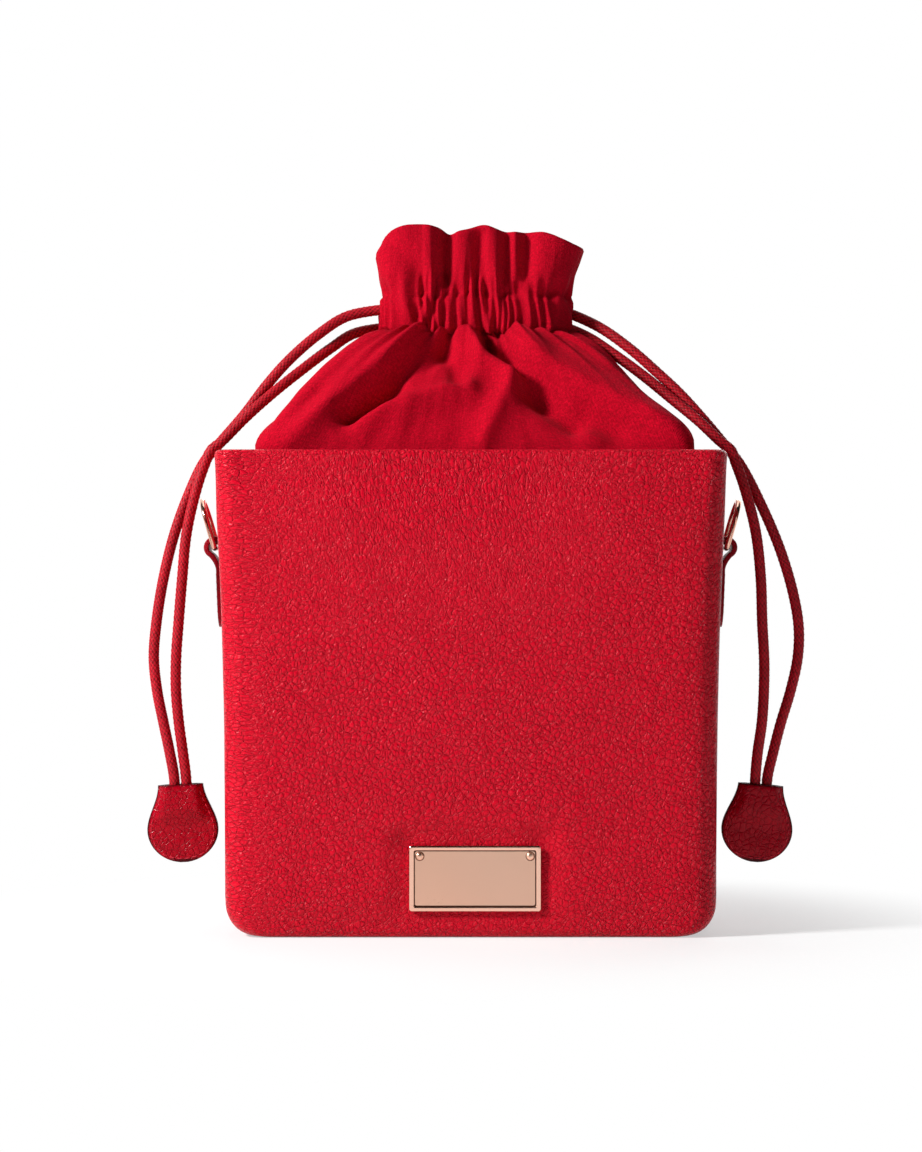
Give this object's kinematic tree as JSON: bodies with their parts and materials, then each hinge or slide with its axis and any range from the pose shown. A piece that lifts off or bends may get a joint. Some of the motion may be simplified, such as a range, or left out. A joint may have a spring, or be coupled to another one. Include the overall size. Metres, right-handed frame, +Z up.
{
  "type": "drawstring pouch bag",
  "caption": "Upright box-shaped leather bag with a gathered fabric top closed by drawstrings that end in leather fobs, with side rings and a blank plate.",
  "frame": {"origin": "on the ground under the middle of the base", "axes": "+Z up, -Y towards the front with the plate, +X to the viewer's right of the front"},
  "size_m": [0.2602, 0.0998, 0.2803],
  "materials": {
    "leather": "pebbled, semi-gloss",
    "padding": "soft felt padding",
    "board": "plain stiffening board",
    "lining": "matt woven",
    "cord": "braided, soft sheen",
    "top_fabric": "fine woven, soft sheen",
    "fob_leather": "pebbled, stitched edge",
    "tab_leather": "smooth, painted edge",
    "rose_gold": "polished rose gold plating"
  },
  "bodies": {
    "root": {"leather_front": "leather", "leather_back": "leather", "leather_base": "leather", "wall_padding": "padding", "front_board": "board", "back_board": "board", "left_board": "board", "right_board": "board", "base_board": "board", "lining_bag": "lining", "drawstring_left": "cord", "drawstring_right": "cord", "gathered_top": "top_fabric", "left_fob_front": "fob_leather", "left_fob_back": "fob_leather", "right_fob_front": "fob_leather", "right_fob_back": "fob_leather", "left_ring_tab": "tab_leather", "right_ring_tab": "tab_leather", "name_plate": "rose_gold", "left_plate_pin": "rose_gold", "right_plate_pin": "rose_gold"},
    "left_ring": {"left_d_ring": "rose_gold"},
    "right_ring": {"right_d_ring": "rose_gold"}
  },
  "joints": [
    {"name": "left_ring_swing", "type": "hinge", "parent": "root", "child": "left_ring", "pos_m": [-0.10249, 0, 0.15183], "axis": [0, -1, 0], "range_deg": [-18, 150]},
    {"name": "right_ring_swing", "type": "hinge", "parent": "root", "child": "right_ring", "pos_m": [0.10249, 0, 0.15183], "axis": [0, 1, 0], "range_deg": [-18, 150]}
  ]
}
